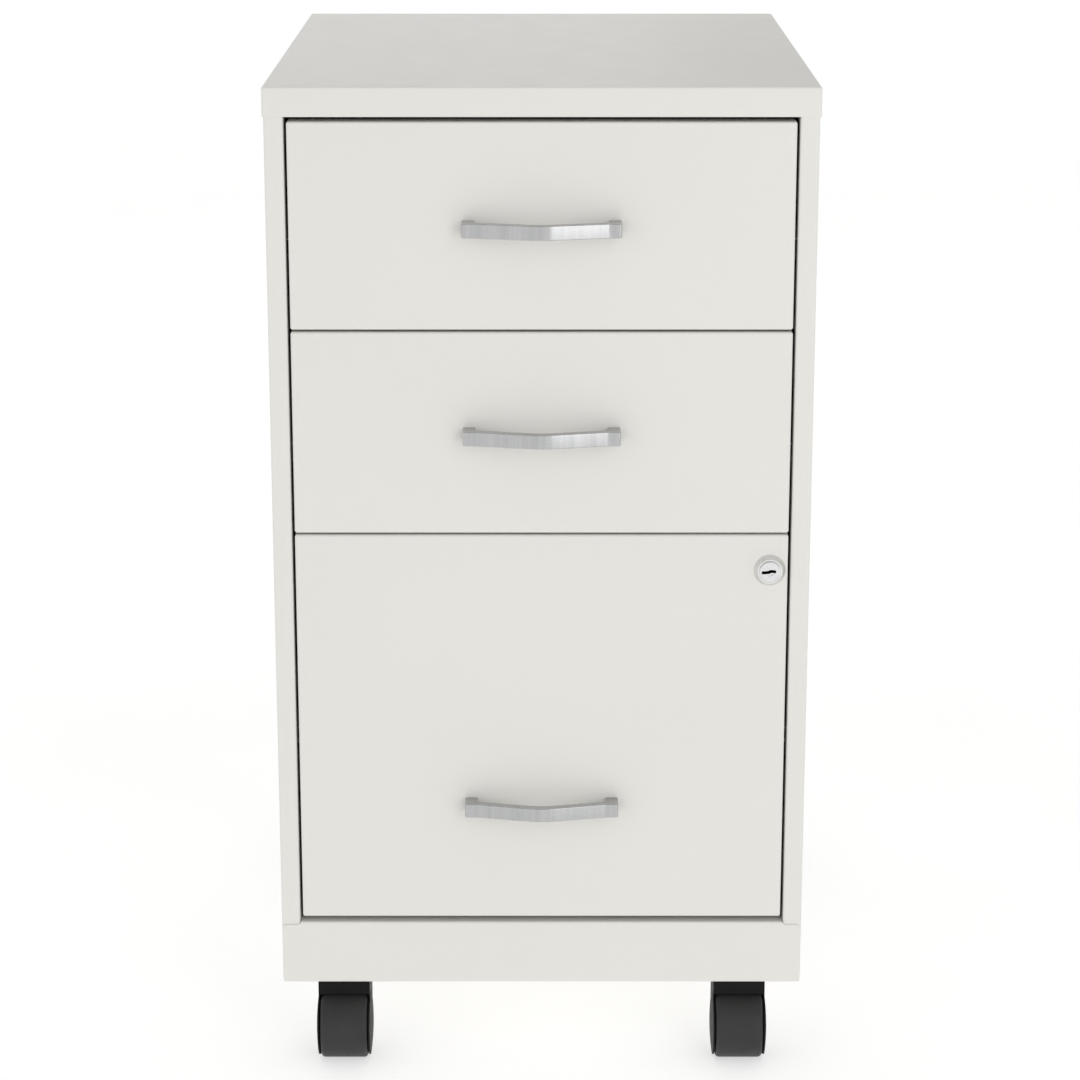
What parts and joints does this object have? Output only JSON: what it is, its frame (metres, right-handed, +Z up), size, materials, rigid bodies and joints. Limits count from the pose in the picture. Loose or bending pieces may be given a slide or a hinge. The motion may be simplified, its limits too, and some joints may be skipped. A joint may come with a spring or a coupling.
{
  "type": "filing cabinet",
  "caption": "Mobile steel filing cabinet with box drawers above a locking file drawer, on swivel casters.",
  "frame": {"origin": "on the floor, below the middle of the cabinet's bounding box", "axes": "+Z up, -Y towards the front, +X to the right of someone facing the front"},
  "size_m": [0.362, 0.4798, 0.686],
  "materials": {
    "painted_case": "satin powder coat",
    "painted_inner": "satin powder coat",
    "zinc_slides": "bright zinc",
    "nylon_rollers": "nylon",
    "chrome_handle": "polished",
    "lock_metal": "satin nickel",
    "caster_housing": "moulded satin",
    "caster_wheel": "moulded satin",
    "zinc_fasteners": "zinc plate"
  },
  "bodies": {
    "case": {"top_panel": "painted_case", "left_side_panel": "painted_case", "right_side_panel": "painted_case", "back_panel": "painted_case", "base_pan": "painted_inner", "kick_plate": "painted_case", "top_rail": "painted_inner", "front_caster_channel": "painted_inner", "rear_caster_channel": "painted_inner", "case_rivets": "zinc_fasteners", "caster_stems": "zinc_fasteners", "caster_nuts": "zinc_fasteners", "case_rails_1": "zinc_slides", "case_rails_2": "zinc_slides", "case_rails_3": "zinc_slides"},
    "drawer_1": {"drawer_1_front": "painted_case", "drawer_1_liner": "painted_inner", "drawer_1_body": "painted_inner", "drawer_1_back": "painted_inner", "drawer_1_runners": "zinc_slides", "drawer_1_handle": "chrome_handle", "drawer_1_handle_screws": "zinc_fasteners"},
    "drawer_2": {"drawer_2_front": "painted_case", "drawer_2_liner": "painted_inner", "drawer_2_body": "painted_inner", "drawer_2_back": "painted_inner", "drawer_2_runners": "zinc_slides", "drawer_2_handle": "chrome_handle", "drawer_2_handle_screws": "zinc_fasteners"},
    "drawer_3": {"drawer_3_front": "painted_case", "drawer_3_liner": "painted_inner", "drawer_3_body": "painted_inner", "drawer_3_back": "painted_inner", "drawer_3_runners": "zinc_slides", "drawer_3_handle": "chrome_handle", "drawer_3_handle_screws": "zinc_fasteners", "lock_housing": "lock_metal", "lock_nut": "lock_metal"},
    "case_rollers_1": {"case_rollers_1": "nylon_rollers"},
    "drawer_rollers_1": {"drawer_rollers_1": "nylon_rollers"},
    "case_rollers_2": {"case_rollers_2": "nylon_rollers"},
    "drawer_rollers_2": {"drawer_rollers_2": "nylon_rollers"},
    "case_rollers_3": {"case_rollers_3": "nylon_rollers"},
    "drawer_rollers_3": {"drawer_rollers_3": "nylon_rollers"},
    "lock_core": {"lock_plug": "lock_metal", "lock_cam": "lock_metal"},
    "caster_front_left": {"caster_front_left_yoke": "caster_housing", "caster_front_left_axle": "zinc_fasteners"},
    "wheel_front_left": {"caster_front_left_wheel": "caster_wheel"},
    "caster_front_right": {"caster_front_right_yoke": "caster_housing", "caster_front_right_axle": "zinc_fasteners"},
    "wheel_front_right": {"caster_front_right_wheel": "caster_wheel"},
    "caster_rear_left": {"caster_rear_left_yoke": "caster_housing", "caster_rear_left_axle": "zinc_fasteners"},
    "wheel_rear_left": {"caster_rear_left_wheel": "caster_wheel"},
    "caster_rear_right": {"caster_rear_right_yoke": "caster_housing", "caster_rear_right_axle": "zinc_fasteners"},
    "wheel_rear_right": {"caster_rear_right_wheel": "caster_wheel"}
  },
  "joints": [
    {"name": "drawer_1_slide", "type": "slide", "parent": "case", "child": "drawer_1", "axis": [0, -1, 0], "range_m": [0, 0.31]},
    {"name": "drawer_2_slide", "type": "slide", "parent": "case", "child": "drawer_2", "axis": [0, -1, 0], "range_m": [0, 0.31]},
    {"name": "drawer_3_slide", "type": "slide", "parent": "case", "child": "drawer_3", "axis": [0, -1, 0], "range_m": [0, 0.31]},
    {"name": "case_rollers_1_turn", "type": "hinge", "parent": "case", "child": "case_rollers_1", "pos_m": [0, -0.1887, 0.5715], "axis": [1, 0, 0], "range_deg": [0, 2000]},
    {"name": "drawer_rollers_1_turn", "type": "hinge", "parent": "drawer_1", "child": "drawer_rollers_1", "pos_m": [0, 0.1843, 0.5715], "axis": [1, 0, 0], "range_deg": [0, 2000]},
    {"name": "case_rollers_2_turn", "type": "hinge", "parent": "case", "child": "case_rollers_2", "pos_m": [0, -0.1887, 0.433], "axis": [1, 0, 0], "range_deg": [0, 2000]},
    {"name": "drawer_rollers_2_turn", "type": "hinge", "parent": "drawer_2", "child": "drawer_rollers_2", "pos_m": [0, 0.1843, 0.433], "axis": [1, 0, 0], "range_deg": [0, 2000]},
    {"name": "case_rollers_3_turn", "type": "hinge", "parent": "case", "child": "case_rollers_3", "pos_m": [0, -0.1887, 0.2324], "axis": [1, 0, 0], "range_deg": [0, 2000]},
    {"name": "drawer_rollers_3_turn", "type": "hinge", "parent": "drawer_3", "child": "drawer_rollers_3", "pos_m": [0, 0.1843, 0.2324], "axis": [1, 0, 0], "range_deg": [0, 2000]},
    {"name": "lock_turn", "type": "hinge", "parent": "drawer_3", "child": "lock_core", "pos_m": [0.1532, -0.2167, 0.3622], "axis": [0, 1, 0], "range_deg": [0, 90]},
    {"name": "caster_front_left_swivel", "type": "hinge", "parent": "case", "child": "caster_front_left", "pos_m": [-0.1386, -0.1831, 0.0634], "axis": [0, 0, 1], "continuous": true},
    {"name": "caster_front_left_roll", "type": "hinge", "parent": "caster_front_left", "child": "wheel_front_left", "pos_m": [-0.1386, -0.1971, 0.0245], "axis": [1, 0, 0], "continuous": true},
    {"name": "caster_front_right_swivel", "type": "hinge", "parent": "case", "child": "caster_front_right", "pos_m": [0.1386, -0.1831, 0.0634], "axis": [0, 0, 1], "continuous": true},
    {"name": "caster_front_right_roll", "type": "hinge", "parent": "caster_front_right", "child": "wheel_front_right", "pos_m": [0.1386, -0.1971, 0.0245], "axis": [1, 0, 0], "continuous": true},
    {"name": "caster_rear_left_swivel", "type": "hinge", "parent": "case", "child": "caster_rear_left", "pos_m": [-0.1386, 0.1939, 0.0634], "axis": [0, 0, 1], "continuous": true},
    {"name": "caster_rear_left_roll", "type": "hinge", "parent": "caster_rear_left", "child": "wheel_rear_left", "pos_m": [-0.1386, 0.1799, 0.0245], "axis": [1, 0, 0], "continuous": true},
    {"name": "caster_rear_right_swivel", "type": "hinge", "parent": "case", "child": "caster_rear_right", "pos_m": [0.1386, 0.1939, 0.0634], "axis": [0, 0, 1], "continuous": true},
    {"name": "caster_rear_right_roll", "type": "hinge", "parent": "caster_rear_right", "child": "wheel_rear_right", "pos_m": [0.1386, 0.1799, 0.0245], "axis": [1, 0, 0], "continuous": true}
  ],
  "couplings": [
    {"joint": "case_rollers_1_turn", "follows": "drawer_1_slide", "rad_per_m": 105.26},
    {"joint": "drawer_rollers_1_turn", "follows": "drawer_1_slide", "rad_per_m": 111.11},
    {"joint": "case_rollers_2_turn", "follows": "drawer_2_slide", "rad_per_m": 105.26},
    {"joint": "drawer_rollers_2_turn", "follows": "drawer_2_slide", "rad_per_m": 111.11},
    {"joint": "case_rollers_3_turn", "follows": "drawer_3_slide", "rad_per_m": 105.26},
    {"joint": "drawer_rollers_3_turn", "follows": "drawer_3_slide", "rad_per_m": 111.11}
  ]
}
